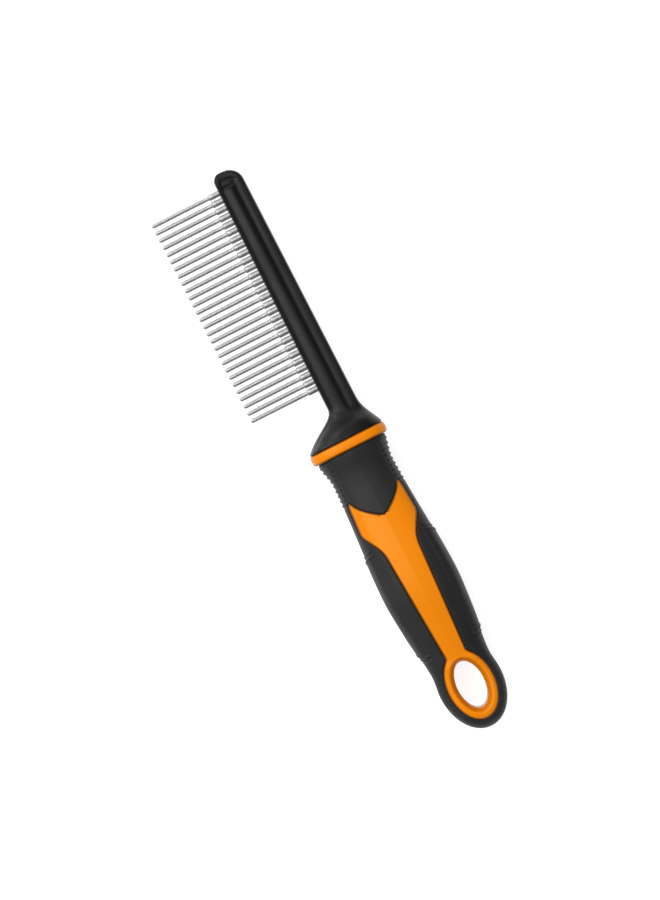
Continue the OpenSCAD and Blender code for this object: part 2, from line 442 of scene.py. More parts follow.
def oval(half_l, half_w, angle):
    return Vector((LOOP_AT - half_l * math.cos(angle), half_w * math.sin(angle)))


def notch_stations():
    """Places beside the notch at which the window is cut, closer where its edge bends."""
    return places(WING_AT, NOTCH_APEX, 0.4, WINDOW_ZONES)


def strip_stations():
    """Places from the notch's apex to the ring's join."""
    return places(NOTCH_APEX, JOIN_AT, 0.5, WINDOW_ZONES)


def slope_of(curve, d, small=0.02):
    return (curve(d + small) - curve(d - small)) / (2 * small)


# ---- Core ----

# Distances from a rounded edge at which the points of a net stand.
EDGE_STEPS = [0, 0.02, 0.06, 0.12, 0.2, 0.3, 0.42, 0.6]


def lip_drop(near):
    """How far a rounded edge has fallen at a distance from it."""
    if near >= LIP:
        return 0.0
    return LIP - math.sqrt(max(0.0, LIP * LIP - (LIP - near) ** 2))


def edge_share(near):
    return 1 - step(0.0, 0.9, near)


def core_point(d, y, near):
    z = form_height(d, y) + CORE_PROUD - lip_drop(near)
    return Vector((-d, y, z)), edge_share(near)


def edge_spread(count):
    """Shares for a strip's columns: (end, distance) near each edge and plain shares between."""
    ends = [("inner", s) for s in EDGE_STEPS]
    middle = [("middle", (k + 1) / (count + 1)) for k in range(count)]
    return ends + middle + [("outer", s) for s in reversed(EDGE_STEPS)]


def spread_place(lo, hi, mark):
    """Where a column's mark lies between two edges."""
    kind, value = mark
    last = EDGE_STEPS[-1]
    shrink = min(1.0, (hi - lo) / (2.6 * last))
    if kind == "inner":
        return lo + value * shrink
    if kind == "outer":
        return hi - value * shrink
    return mix(lo + last * shrink, hi - last * shrink, value)


CORE_COLUMNS = edge_spread(14)


def core_strip(bm):
    """The wings and the strip, on the +Y side of the middle line."""
    def place(d, mark):
        lo = notch_y(d)
        hi = window_y(d)
        y = spread_place(lo, hi, mark)
        near = (hi - y) / math.hypot(1, slope_of(window_y, max(d, WING_AT + 0.03)))
        if d < NOTCH_APEX:
            inner = (y - lo) / math.hypot(1, slope_of(notch_y, min(d, NOTCH_APEX - 0.03)))
            near = min(near, inner, d - WING_AT)
        elif d < NOTCH_APEX + 0.6:
            near = min(near, math.hypot(d - NOTCH_APEX, y))
        return core_point(d, y, near)

    after = [NOTCH_APEX + s for s in EDGE_STEPS[1:]]
    later = [d for d in strip_stations() if d > after[-1] + 0.2]
    sheet(bm, notch_stations() + after + later, CORE_COLUMNS, place)


def ring_outer_points():
    """Points round the window's ring on the +Y side: up the join, then round the oval."""
    join = [(JOIN_AT, spread_place(0.0, window_y(JOIN_AT), m)) for m in CORE_COLUMNS]
    start = math.acos((LOOP_AT - JOIN_AT) / RING_HALF_L)
    count = 72
    rest = []
    for k in range(1, count + 1):
        angle = mix(start, math.pi, k / count)
        d = LOOP_AT - RING_HALF_L * math.cos(angle)
        rest.append((d, window_y(d) if d < LOOP_AT else RING_HALF_W * math.sin(angle)))
    return join, rest


RING_CROWN = 0.28
# Painted shade: the edge value given to the whole bowl, which the core's material darkens towards
# brown.
BOWL_SHADE = 0.33
# From the bowl's rim to the hole: (share of the way across, share of the height).
BOWL_PATH = [(0.08, 0.995), (0.2, 0.975), (0.35, 0.935), (0.5, 0.885), (0.65, 0.83), (0.8, 0.77),
             (0.92, 0.715), (1.0, 0.67), (1.0, 0.5), (1.0, 0.25), (1.0, 0.0)]


def core_ring(bm):
    """The ring round the hanging hole: a raised band, a sloping bowl and the hole's straight wall."""
    join, rest = ring_outer_points()
    around = [(p, False) for p in join] + [(p, True) for p in rest]
    band = [("band", s) for s in EDGE_STEPS[:-1]]
    band += [("share", s) for s in (0.15, 0.3, 0.45, 0.6, 0.72, 0.82, 0.9, 0.96, 1.0)]
    bowl = [("bowl", share) for share in BOWL_PATH]

    def band_height(point, near, to_bowl):
        crown = RING_CROWN * step(0.2, 1.0, near) * step(0.0, 0.8, to_bowl + 0.35)
        crown *= step(0.0, 2.5, point.x - JOIN_AT)
        return form_height(point.x, point.y) + CORE_PROUD + crown - lip_drop(near)

    def place(item, mark):
        (d, y), free = item
        outer = Vector((d, y))
        angle = math.atan2(y / RING_HALF_W, -(d - LOOP_AT) / RING_HALF_L)
        rim = oval(BOWL_HALF_L, BOWL_HALF_W, angle)
        hole = oval(HOLE_HALF_L, HOLE_HALF_W, angle)
        span = (rim - outer).length
        kind, value = mark
        if kind == "bowl":
            across, height = value
            top = band_height(rim, span if free else FAR_IN, 0.0)
            plan = rim.lerp(hole, across)
            return Vector((-plan.x, plan.y, top * height)), BOWL_SHADE
        squeeze = min(1.0, span / 1.4)
        walk = value * squeeze if kind == "band" else mix(EDGE_STEPS[-2] * squeeze, span, value)
        plan = outer.lerp(rim, walk / span)
        near = walk
        if not free:
            near += (window_y(JOIN_AT) - y) / math.hypot(1, slope_of(window_y, JOIN_AT))
        z = band_height(plan, near, span - walk)
        return Vector((-plan.x, plan.y, z)), edge_share(near)

    sheet(bm, around, band + bowl, place)


def superoval(half_w, half_t, angle):
    e = 2 / SQUARENESS
    c, s = math.cos(angle), math.sin(angle)
    return (math.copysign(abs(c) ** e, c) * half_w, math.copysign(abs(s) ** e, s) * half_t)


def collar(bm):
    """The collar: a thick oval disc whose rim is rounded like a bead."""
    half = COLLAR_L / 2
    turns = 20
    face = [(half, 0.0, 0.0), (half, 0.45, 0.0), (half, 0.72, 0.0)]
    bead = []
    for k in range(turns + 1):
        x = half * math.cos(math.pi * k / turns)
        fullness = math.sqrt(1 - min(1.0, abs(x / half)) ** 3.2)
        bead.append((x, 1.0, COLLAR_BEAD * (1 - fullness)))
    back = [(-x, scale, drop) for x, scale, drop in reversed(face)]
    around = [2 * math.pi * k / 160 for k in range(161)]

    def place(angle, mark):
        x, scale, drop = mark
        y, z = superoval((COLLAR_W / 2 - drop) * scale, (COLLAR_T / 2 - drop) * scale, angle)
        # The edge value rises at the rim's two sides, where the core's material paints shade next to
        # the head and the grip.
        return Vector((x, y, z)), step(1.15, 1.75, abs(x)) * scale

    sheet(bm, around, face + bead + back, place)


def handle_core(material):
    bm = new_shape()
    core_strip(bm)
    core_ring(bm)
    merge(bm)
    mirror(bm, "Y")
    walls_to_middle(bm, SEAM + 0.02)
    mirror(bm, "Z")
    merge(bm)
    collar(bm)
    merge(bm)
    finish_piece(bm, "core", material, "handle_core")


# ---- Rubber grip ----

RIB_START = 3.6
RIB_PITCH = 1.82
RIB_COUNT = 9
RIB_END = RIB_START + RIB_PITCH * RIB_COUNT
SHIELD_Y = 9.1
PAD_START = 37.6
PAD_END = 76.0
PAD_RADIUS = 12.5
CREASE_ANGLE = math.radians(38)
BEAD_PITCH = 1.7
# How far the rubber's details stand out or lie deep.
RIB_RISE = 0.52
RIB_SINK = 0.2
GROOVE_DEPTH = 0.16
PAD_RISE = 0.32
CREASE_DEPTH = 0.22
BEAD_RISE = 0.26
VALLEY_DEPTH = 0.16


def ribs(d, y):
    """Nine ribs down each side of the neck, outside the plain shield."""
    end = RIB_START + RIB_PITCH * (RIB_COUNT - 0.5)
    if d < RIB_START - RIB_PITCH or d > end + RIB_PITCH:
        return 0.0
    tooth = 1 - abs(math.sin(math.pi * (d - RIB_START) / RIB_PITCH))
    inside = step(RIB_START - 0.8, RIB_START - 0.5, d) * step(end + 0.3, end, d)
    side = step(SHIELD_Y, SHIELD_Y + 0.7, abs(y))
    return (RIB_RISE * tooth - RIB_SINK) * inside * side


def shield(d, y):
    """A narrow groove down each edge of the shield."""
    fade = step(19.6, 17.6, d) * step(1.8, 3.0, d)
    return -GROOVE_DEPTH * bump(abs(y) - SHIELD_Y, 0.35) * fade


def pads(d, angle):
    """Raised side pads with a soft crease above them and two slanted beads at each end."""
    s = (CREASE_ANGLE - angle) * PAD_RADIUS
    slant = 1.8 * min(1.0, max(-0.3, s / 7.5))
    front = d - (PAD_START - 1.8 + slant)
    back = (PAD_END + 2.0 - slant) - d
    inside = step(0.0, 1.4, front) * step(0.0, 1.4, back)
    raise_pad = PAD_RISE * step(0.0, 1.6, s) * inside
    crease = -CREASE_DEPTH * bump(s + 0.1, 0.8) * step(-0.5, 2.5, front) * step(-0.5, 2.5, back)
    beads = 0.0
    for k in (0, 1):
        beads += bump(front + 0.2 - k * BEAD_PITCH, 0.38)
        beads += bump(back + 0.2 - k * BEAD_PITCH, 0.38)
    beads *= BEAD_RISE * step(-0.6, 0.8, s)
    valley = -VALLEY_DEPTH * (bump(front - 0.65, 0.45) + bump(back - 0.65, 0.45))
    valley *= step(-0.6, 0.8, s)
    return raise_pad + crease + beads + valley


def rubber_point(d, y, near, z=None):
    """A point of the rubber's skin, with its ribs, pads and rounded edge."""
    if z is None:
        z = form_height(d, y)
    out = form_normal(d, y, z)
    angle = math.atan2(z, abs(y)) if d < LOOP_AT else 1.0
    rise = ribs(d, y) + shield(d, y) + pads(d, angle) * step(90, 82, d) - lip_drop(d - GRIP_AT)
    rise *= step(0.1, 1.0, near)
    point = Vector((-d, y, z)) + Vector((-out.x, out.y, out.z)) * rise
    point.z -= lip_drop(near)
    if z < 1e-6:
        point.z = 0.0
    return point, edge_share(near)


def grown(d, y, tangent, gap):
    """A window point moved outwards by the seam's width."""
    t = Vector(tangent).normalized()
    return Vector((d, y)) + Vector((-t.y, t.x)) * gap


def neck_stations():
    """Places along the neck, from the collar to the window, closer along the ribs."""
    return places(GRIP_AT - OVERLAP, WING_AT - SEAM, 0.5, [(RIB_START - 1.2, RIB_END, 0.14)])


def side_stations():
    """Pairs of plan points for the rubber's side: on the window's edge, and on the outline."""
    pairs = []
    for d in neck_stations():
        pairs.append((Vector((d, TIP_Y)), Vector((d, half_width(d))), False))
    fine = places(WING_AT, RIB_END + 0.6, 0.14, [(WING_AT, WING_AT + 0.12, 0.02)])
    pad_zones = [(PAD_START - 3, PAD_START + 3, 0.22), (PAD_END - 3, PAD_END + 5, 0.22),
                 (SHOULDER_AT - 1.5, SHOULDER_AT + 1.5, 0.25)]
    rest = places(fine[-1], JOIN_AT, 0.5, pad_zones)[1:] + places(JOIN_AT, LOOP_AT, 0.4)[1:]
    for d in fine[1:] + rest:
        y = window_y(d)
        slope = slope_of(window_y, max(d, WING_AT + 0.021))
        p = grown(d, y, (1, slope), SEAM)
        pairs.append((p, Vector((d, half_width(d))), True))
    count = 60
    for k in range(1, count + 1):
        angle = math.pi / 2 * (1 + k / count)
        p = oval(RING_HALF_L + SEAM, RING_HALF_W + SEAM, angle)
        q = oval(LOOP_HALF_L, LOOP_HALF_W, angle)
        pairs.append((p, q, True))
    return pairs


def rubber_side(bm):
    """The rubber from the window's edge round to the middle plane, on the +Y side."""
    e = 2 / SQUARENESS
    turns = 38
    columns = [("lip", s) for s in EDGE_STEPS[:-1]] + [("turn", k / turns) for k in range(turns + 1)]

    def place(pair, mark):
        inner, outer, free = pair
        kind, value = mark
        centre = Vector((min(inner.x, LOOP_AT), 0.0))
        full = (outer - centre).length
        start = (inner - centre).length
        lip_end = EDGE_STEPS[-1]
        if kind == "lip":
            plan = inner + (outer - inner).normalized() * value
            return rubber_point(plan.x, plan.y, value if free else FAR_IN)
        share = min(1.0, (start + lip_end) / full)
        turn0 = math.acos(min(1.0, share ** (1 / e)))
        turn = turn0 * (1 - value)
        reach = math.cos(turn) ** e
        begin = inner + (outer - inner).normalized() * lip_end
        walk = (reach - share) / max(1 - share, 1e-6)
        plan = begin.lerp(outer, walk)
        near = lip_end + (outer - begin).length * walk
        z = 0.0 if value == 1 else form_height(plan.x, plan.y)
        return rubber_point(plan.x, plan.y, near if free else FAR_IN, z)

    sheet(bm, side_stations(), columns, place)


def rubber_shield(bm):
    """The plain shield in front of the notch, on the +Y side of the middle line."""
    shares = 26
    marks = [("share", k / shares) for k in range(shares)]
    marks += [("lip", s) for s in reversed(EDGE_STEPS[:-1])]

    def place(d, mark):
        kind, value = mark
        edge = TIP_Y
        slope = None
        if d > WING_AT - SEAM:
            slope = slope_of(notch_y, min(max(d, WING_AT + 0.021), NOTCH_APEX - 0.021))
            moved = grown(d, notch_y(d), (1, slope), -SEAM)
            edge = max(0.0, moved.y)
            d = moved.x if d > WING_AT else d
        lip_end = min(EDGE_STEPS[-2] * 1.2, edge * 0.6)
        inside = value / EDGE_STEPS[-2] * lip_end if kind == "lip" else mix(edge, lip_end, value)
        y = edge - inside
        if slope is None:
            return rubber_point(d, y, FAR_IN)
        near = inside / math.hypot(1, slope)
        if d > NOTCH_APEX - 1:
            near = min(near, math.hypot(NOTCH_APEX - SEAM - d, y * 0.3))
        return rubber_point(d, y, near)

    sheet(bm, neck_stations() + notch_stations()[1:], marks, place)


def rubber_grip(material):
    bm = new_shape()
    rubber_side(bm)
    rubber_shield(bm)
    merge(bm)
    mirror(bm, "Y")
    front = -GRIP_AT + OVERLAP
    walls_to_middle(bm, 0.0, lambda e: not all(abs(v.co.x - front) < 0.02 for v in e.verts))
    mirror(bm, "Z")
    merge(bm)
    close_ends(bm)
    finish_piece(bm, "grip", material, "rubber_grip")


# ---- Head ----

# Rounded corners of the tip: (length, depth, power).
TIP_BACK = (5.2, 6.0, 2.05)
TIP_FRONT = (3.2, 3.2, 2.0)
# Half thickness of the spine by distance from its back edge, its front edge and its tip.
RIDGE_TOP = 3.04
TIP_FLAT = 2.5
TIP_FLAT_FRONT = TIP_FLAT + 0.12
SPINE_SOFT = 0.3
BACK_RISE = [(0.0, 2.3), (0.6, 2.36), (1.1, 2.38), (2.15, 2.42), (3.0, 2.38), (3.55, 2.36), (4.0, 2.44),
             (4.4, 2.62), (4.85, 2.84), (5.3, 2.98), (6.0, RIDGE_TOP), (14.0, RIDGE_TOP)]
FRONT_RISE = [(0.0, 2.8), (0.5, 2.72), (1.0, 2.63), (1.5, 2.58), (1.9, 2.56), (2.3, 2.59), (2.7, 2.69),
              (3.2, 2.85), (3.6, 2.96), (4.0, 3.02), (4.4, RIDGE_TOP), (14.0, RIDGE_TOP)]
TIP_RISE = [(0.0, 2.6), (1.0, 2.62), (1.9, 2.58), (2.5, 2.44), (3.1, 2.24), (3.5, 2.2), (3.9, 2.28),
            (4.4, 2.44), (4.8, 2.44), (5.2, 2.33), (5.6, 2.26), (5.9, 2.34), (6.3, 2.56), (6.9, 2.88),
            (7.6, 3.01), (8.4, RIDGE_TOP), (14.0, RIDGE_TOP)]


def corner(x, size):
    """How far a rounded corner of the tip has pulled in, from 0 to its depth."""
    length, depth, power = size
    share = min(1.0, max(0.0, (x - (TIP_X - length)) / length))
    return depth * (1 - (1 - share ** power) ** (1 / power))


def spine_edges(x):
    """Back and front edges of the spine."""
    t = (x - SKIRT_X) / (TIP_X - SKIRT_X)
    back = mix(-SPINE_OFFSET - SPINE_ROOT_W / 2, EDGE_Y - SPINE_TIP_W, t)
    front = mix(-SPINE_OFFSET + SPINE_ROOT_W / 2, EDGE_Y, t)
    return back + corner(x, TIP_BACK), front - corner(x, TIP_FRONT)


TIP_ZONE = 16.0
TIP_CURVED = 6.0
TIP_FINE = 9.0
RIM_LINE_AT = 1.7
RIM_LINE_DEPTH = 0.32


def tip_outline():
    """Points along the back edge and round the tip, then straight on past the front edge."""
    turns = 30
    xs = places(TIP_X - TIP_ZONE - TIP_CURVED, TIP_X - TIP_CURVED, 0.5)
    xs += [TIP_X - TIP_CURVED * math.cos(math.pi / 2 * k / turns) for k in range(1, turns + 1)]
    points = [(x, spine_edges(x)[0]) for x in xs]
    return points + [(TIP_X, EDGE_Y + TIP_CURVED)]


TIP_OUTLINE = tip_outline()


def from_outline(x, y):
    """Distance in from the back edge and the tip."""
    best = 1e9
    for (x0, y0), (x1, y1) in zip(TIP_OUTLINE, TIP_OUTLINE[1:]):
        dx, dy = x1 - x0, y1 - y0
        t = min(1.0, max(0.0, ((x - x0) * dx + (y - y0) * dy) / (dx * dx + dy * dy)))
        best = min(best, (x - x0 - t * dx) ** 2 + (y - y0 - t * dy) ** 2)
    return math.sqrt(best)


def spine_height(x, y, back, front):
    """Half thickness of the spine: flat rims, a raised ridge, and a scoop between ridge and tip."""
    from_front = front - y
    inward = from_outline(x, y) if x > TIP_X - TIP_ZONE else y - back
    from_tip = TIP_X - x - 0.09 * max(0.0, from_front - 4.0) ** 2
    inside_rims = step(0.8, 3.2, y - back) * step(1.0, 2.2, from_front)
    end = mix(RIDGE_TOP, table(TIP_RISE, from_tip), inside_rims)
    flat = step(5.0, 2.5, TIP_X - x)
    rise = soft_min(mix(table(BACK_RISE, y - back), TIP_FLAT, flat), end, SPINE_SOFT)
    z = soft_min(rise, mix(table(FRONT_RISE, from_front), TIP_FLAT_FRONT, flat), SPINE_SOFT)
    return z, min(inward, from_front * 2.0)


def rounding(near, reach=1.1):
    share = min(1.0, max(0.0, near / reach))
    return (1 - (1 - share) ** 2.3) ** (1 / 2.3)


def head_stations():
    """Sections from the collar to the tip: (x, back, front, half thickness of the plain flare)."""
    end_x = COLLAR_L / 2 - OVERLAP
    half_w = COLLAR_W / 2 - SKIRT_INSET
    half_t = COLLAR_T / 2 - SKIRT_INSET
    back, front = spine_edges(SKIRT_X)
    found = []
    lip_shares = [1, 0.998, 0.994, 0.988, 0.98, 0.97, 0.957, 0.942]
    for t in lip_shares + [0.925 - k / 60 for k in range(56)]:
        x = bezier(SKIRT_X, SKIRT_X - SKIRT_L * 0.35, COLLAR_L / 2 + SKIRT_L * 0.5, COLLAR_L / 2, t)
        y_a = bezier(back, back, -half_w * 0.8, -half_w, t)
        y_b = bezier(front, front, half_w * 0.66, half_w, t)
        z = bezier(SKIRT_NECK_T, SKIRT_NECK_T, half_t * 0.8, half_t, t)
        drop = lip_drop(x - COLLAR_L / 2)
        found.append((max(x, end_x), y_a + drop, y_b - drop, z - drop))
    count = 60
    xs = places(SKIRT_X, TIP_X - TIP_FINE, 0.6)
    xs += [TIP_X - TIP_FINE * math.cos(math.pi / 2 * k / count) for k in range(1, count + 1)]
    return found + [(x, *spine_edges(x), SKIRT_NECK_T) for x in xs]


def comb_head(material):
    """Spine and skirt: the upper half is one net from the back edge to the front, then mirrored."""
    bm = new_shape()
    count = 110
    columns = [(1 - math.cos(math.pi * k / count)) / 2 for k in range(count + 1)]

    def place(station, share):
        x, back, front, thick = station
        y = mix(back, front, share)
        across = min(1.0, abs(2 * share - 1))
        waist = 2.1 if share > 0.5 else SQUARENESS
        power = mix(mix(3.2, waist, step(13, 8, x)), SQUARENESS, step(5.0, 2.2, x))
        flare = thick * (1 - across ** power) ** (1 / power)
        z, near = spine_height(x, y, back, front)
        z *= rounding(near)
        blend = step(16.0, 5.0, x)
        rim_line = -RIM_LINE_DEPTH * bump(front - y - RIM_LINE_AT, 0.6)
        rim_line *= step(2.4, 4.5, x) * step(0.1, 0.8, blend)
        z = mix(z, flare + rim_line * step(0.0, 1.0, flare), blend)
        return Vector((x, y, max(z, 0.0))), edge_share(near) * (1 - 0.7 * blend)

    sheet(bm, head_stations(), columns, place)
    merge(bm, 0.002)
    mirror(bm, "Z")
    close_ends(bm)
    finish_piece(bm, "head", material, "comb_head")


# ---- Pins ----


PIN_FOOT_ROUND = 0.15
PIN_TAPER_L = 0.6


def pin_profile():
    """Radius and height from the pin's foot to its round tip."""
    step_at = PIN_SEAT + PIN_ROOT_OUT
    length = PIN_SEAT + PIN_REACH
    points = [(0.0, 0.0), (PIN_ROOT_R - PIN_FOOT_ROUND, 0.0), (PIN_ROOT_R, PIN_FOOT_ROUND)]
    points += [(PIN_ROOT_R, step_at * k / 6) for k in range(1, 6)]
    for k in range(7):
        t = k / 6
        height = step_at - PIN_TAPER_L + PIN_TAPER_L * t
        points.append((mix(PIN_ROOT_R, PIN_R, step(0, 1, t)), height))
    points += [(PIN_R, mix(step_at, length - PIN_R, k / 10)) for k in range(1, 11)]
    for k in range(1, 9):
        angle = math.pi / 2 * k / 8
        points.append((PIN_R * math.cos(angle), length - PIN_R + PIN_R * math.sin(angle)))
    return points


def steel_pin(number, material):
    """One pin, turned round its own axis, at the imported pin's place along the spine."""
    node = f"comb_pin_{number:02d}"
    low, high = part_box(node)
    x = ((low[0] + high[0]) / 2 - ORIGIN.x) / MM
    foot = EDGE_Y - PIN_SEAT
    bm = new_shape()
    chain = [bm.verts.new((x + r, foot + h, 0.0)) for r, h in pin_profile()]
    edges = [bm.edges.new(pair) for pair in zip(chain, chain[1:])]
    bmesh.ops.spin(
        bm, geom=chain + edges, cent=(x, foot, 0.0), axis=(0, 1, 0), angle=2 * math.pi,
        steps=40, use_merge=True, use_normal_flip=False, use_duplicate=False,
    )
    merge(bm, 0.001)
    finish_piece(bm, f"pin_{number:02d}", material, node)


# ---- Materials ----


def group(name, inputs, outputs):
    """A shader node group with named inputs (name, kind, default) and outputs (name, kind)."""
    made = bpy.data.node_groups.new(name, "ShaderNodeTree")
    for label, kind, value in inputs:
        made.interface.new_socket(name=label, in_out="INPUT", socket_type=kind).default_value = value
    for label, kind in outputs:
        made.interface.new_socket(name=label, in_out="OUTPUT", socket_type=kind)
    entry = made.nodes.new("NodeGroupInput")
    leave = made.nodes.new("NodeGroupOutput")
    return made, entry, leave


def noise_node(tree, vector, scale, detail=3.0, rough=0.55):
    node = tree.nodes.new("ShaderNodeTexNoise")
    node.inputs["Detail"].default_value = detail
    node.inputs["Roughness"].default_value = rough
    tree.links.new(vector, node.inputs["Vector"])
    if isinstance(scale, (int, float)):
        node.inputs["Scale"].default_value = scale
    else:
        tree.links.new(scale, node.inputs["Scale"])
    return node.outputs["Fac"]


def math_node(tree, operation, a, b=None, clamp=False):
    node = tree.nodes.new("ShaderNodeMath")
    node.operation = operation
    node.use_clamp = clamp
    for socket, value in zip(node.inputs, (a, b)):
        if value is None:
            continue
        if isinstance(value, (int, float)):
            socket.default_value = value
        else:
            tree.links.new(value, socket)
    return node.outputs[0]


def ramp_node(tree, value, stops):
    """A smooth ramp. stops are (from, to) of the value and (from, to) of the result, in one row."""
    node = tree.nodes.new("ShaderNodeMapRange")
    node.interpolation_type = "SMOOTHSTEP"
    for socket, number in zip(node.inputs[1:5], stops):
        socket.default_value = number
    tree.links.new(value, node.inputs[0])
    return node.outputs[0]


def object_place(tree):
    """The point of the surface, in the object's own metres."""
    return tree.nodes.new("ShaderNodeTexCoord").outputs["Object"]


def mix_value(tree, share, a, b):
    node = tree.nodes.new("ShaderNodeMix")
    tree.links.new(share, node.inputs[0])
    tree.links.new(a, node.inputs[2])
    node.inputs[3].default_value = b
    return node.outputs[0]


def mix_colour(tree, share, a, b):
    node = tree.nodes.new("ShaderNodeMix")
    node.data_type = "RGBA"
    for socket, value in ((node.inputs[0], share), (node.inputs[6], a), (node.inputs[7], b)):
        if isinstance(value, (int, float, tuple)):
            socket.default_value = value
        else:
            tree.links.new(value, socket)
    return node.outputs[2]


def moulded_grain():
    """Fine moulded grain with slow unevenness: Height for a bump and Patch for colour."""
    made, entry, leave = group(
        "moulded grain",
        [("Grain scale", "NodeSocketFloat", 2600.0), ("Patch scale", "NodeSocketFloat", 60.0)],
        [("Height", "NodeSocketFloat"), ("Patch", "NodeSocketFloat")],
    )
    where = object_place(made)
    fine = noise_node(made, where, entry.outputs["Grain scale"], 4.0, 0.6)
    slow = noise_node(made, where, entry.outputs["Patch scale"], 3.0, 0.5)
    made.links.new(fine, leave.inputs["Height"])
    made.links.new(ramp_node(made, slow, (0.3, 0.7, 0.0, 1.0)), leave.inputs["Patch"])
    return made


def rubbed_edges_and_shade():
    """Edge is the vertices' edge value, and Rubbing and shade is the same broken up by noise: rubbed
    edges on the head and grip, painted shade on the core.
    """
    made, entry, leave = group(
        "rubbed edges and shade",
        [("Break up", "NodeSocketFloat", 900.0), ("Amount", "NodeSocketFloat", 0.6)],
        [("Rubbing and shade", "NodeSocketFloat"), ("Edge", "NodeSocketFloat")],
    )
    near = made.nodes.new("ShaderNodeAttribute")
    near.attribute_name = "edge"
    where = object_place(made)
    patches = noise_node(made, where, entry.outputs["Break up"], 3.0, 0.6)
    patchy = ramp_node(made, patches, (0.35, 0.65, 0.2, 1.0))
    wear_and_shade_mask = math_node(made, "MULTIPLY", near.outputs["Fac"], patchy)
    wear_and_shade_mask = math_node(made, "MULTIPLY", wear_and_shade_mask, entry.outputs["Amount"], True)
    made.links.new(wear_and_shade_mask, leave.inputs["Rubbing and shade"])
    made.links.new(near.outputs["Fac"], leave.inputs["Edge"])
    return made


def fine_dust():
    """Specks and faint handling marks: Dust is 0 almost everywhere."""
    made, entry, leave = group(
        "fine dust",
        [("Speck scale", "NodeSocketFloat", 1500.0), ("Amount", "NodeSocketFloat", 0.3)],
        [("Dust", "NodeSocketFloat"), ("Smudge", "NodeSocketFloat")],
    )
    where = object_place(made)
    specks = noise_node(made, where, entry.outputs["Speck scale"], 2.0, 0.7)
    tight = ramp_node(made, specks, (0.66, 0.76, 0.0, 1.0))
    dust = math_node(made, "MULTIPLY", tight, entry.outputs["Amount"], True)
    made.links.new(dust, leave.inputs["Dust"])
    smudge = noise_node(made, where, 45.0, 5.0, 0.6)
    made.links.new(ramp_node(made, smudge, (0.4, 0.7, 0.0, 1.0)), leave.inputs["Smudge"])
    return made


GRAIN = moulded_grain()
RUBBED_EDGES_AND_SHADE = rubbed_edges_and_shade()
DUST = fine_dust()


def use(tree, made, **values):
    node = tree.nodes.new("ShaderNodeGroup")
    node.node_tree = made
    for label, value in values.items():
        node.inputs[label.replace("_", " ")].default_value = value
    return node.outputs


def new_material(name, roughness, metallic=0.0):
    material = bpy.data.materials.new(name)
    material.use_nodes = True
    tree = material.node_tree
    shader = tree.nodes["Principled BSDF"]
    shader.inputs["Metallic"].default_value = metallic
    shader.inputs["Roughness"].default_value = roughness
    return material, tree, shader


def add_bump(tree, shader, height, strength, distance):
    node = tree.nodes.new("ShaderNodeBump")
    node.inputs["Strength"].default_value = strength
    node.inputs["Distance"].default_value = distance
    tree.links.new(height, node.inputs["Height"])
    tree.links.new(node.outputs["Normal"], shader.inputs["Normal"])


def plastic(name, colours, rough, grain, bump_by, painted_edge_shade=None):
    """Moulded plastic or rubber: grain, slow patches, a colour along the edges and a little dust.

    colours are the plain, patch, edge and dust colours. The edge colour is rubbed wear where it is
    lighter, as on the head and grip, and painted shade where it is darker, as on the core;
    painted_edge_shade is a dark painted shade laid on the edges themselves.
    """
    colour, patch_colour, wear_and_shade_colour, dust_colour = colours
    material, tree, shader = new_material(name, rough[0])
    grain_out = use(tree, GRAIN, Grain_scale=grain, Patch_scale=55.0)
    wear_and_shade_out = use(tree, RUBBED_EDGES_AND_SHADE, Break_up=700.0, Amount=0.55)
    dust_out = use(tree, DUST, Speck_scale=1700.0, Amount=0.25)
    base = mix_colour(tree, grain_out["Patch"], colour, patch_colour)
    # Rubbed wear where this colour is lighter, on the head and grip; painted shade where it is darker,
    # on the core.
    base = mix_colour(tree, wear_and_shade_out["Rubbing and shade"], base, wear_and_shade_colour)
    # Painted shade: a dark colour laid nearest the edges, at the collar's sides and over the core's
    # bowl.
    if painted_edge_shade:
        painted_shade_at_edge = ramp_node(tree, wear_and_shade_out["Edge"], (0.15, 0.7, 0.0, 0.9))
        base = mix_colour(tree, painted_shade_at_edge, base, painted_edge_shade)
    base = mix_colour(tree, dust_out["Dust"], base, dust_colour)
    tree.links.new(base, shader.inputs["Base Color"])
    rough_value = ramp_node(tree, dust_out["Smudge"], (0.0, 1.0, rough[0], rough[1]))
    tree.links.new(rough_value, shader.inputs["Roughness"])
    add_bump(tree, shader, grain_out["Height"], bump_by[0], bump_by[1])
    return material, shader


def head_plastic():
    material, shader = plastic(
        "glossy black moulded plastic",
        [(0.005, 0.005, 0.0046, 1), (0.0066, 0.0066, 0.006, 1), (0.012, 0.012, 0.012, 1),
         (0.06, 0.06, 0.058, 1)],
        rough=(0.33, 0.4), grain=2600.0, bump_by=(0.05, 0.00003))
    shader.inputs["Specular IOR Level"].default_value = 0.25
    return material


def core_plastic():
    # The third colour, a darker orange broken up by noise, and the dark brown edge colour are painted
    # shade along the window's seam, at the collar's sides and in the bowl.
    material, shader = plastic(
        "satin orange moulded plastic",
        [(0.9, 0.245, 0.0016, 1), (0.92, 0.256, 0.002, 1), (0.4, 0.1, 0.002, 1),
         (0.95, 0.5, 0.2, 1)],
        rough=(0.28, 0.31), grain=3000.0, bump_by=(0.05, 0.00003), painted_edge_shade=(0.16, 0.045, 0.002, 1))
    shader.inputs["Specular IOR Level"].default_value = 0.32
    shader.inputs["Specular Tint"].default_value = (1.0, 0.8, 0.35, 1)
    return material


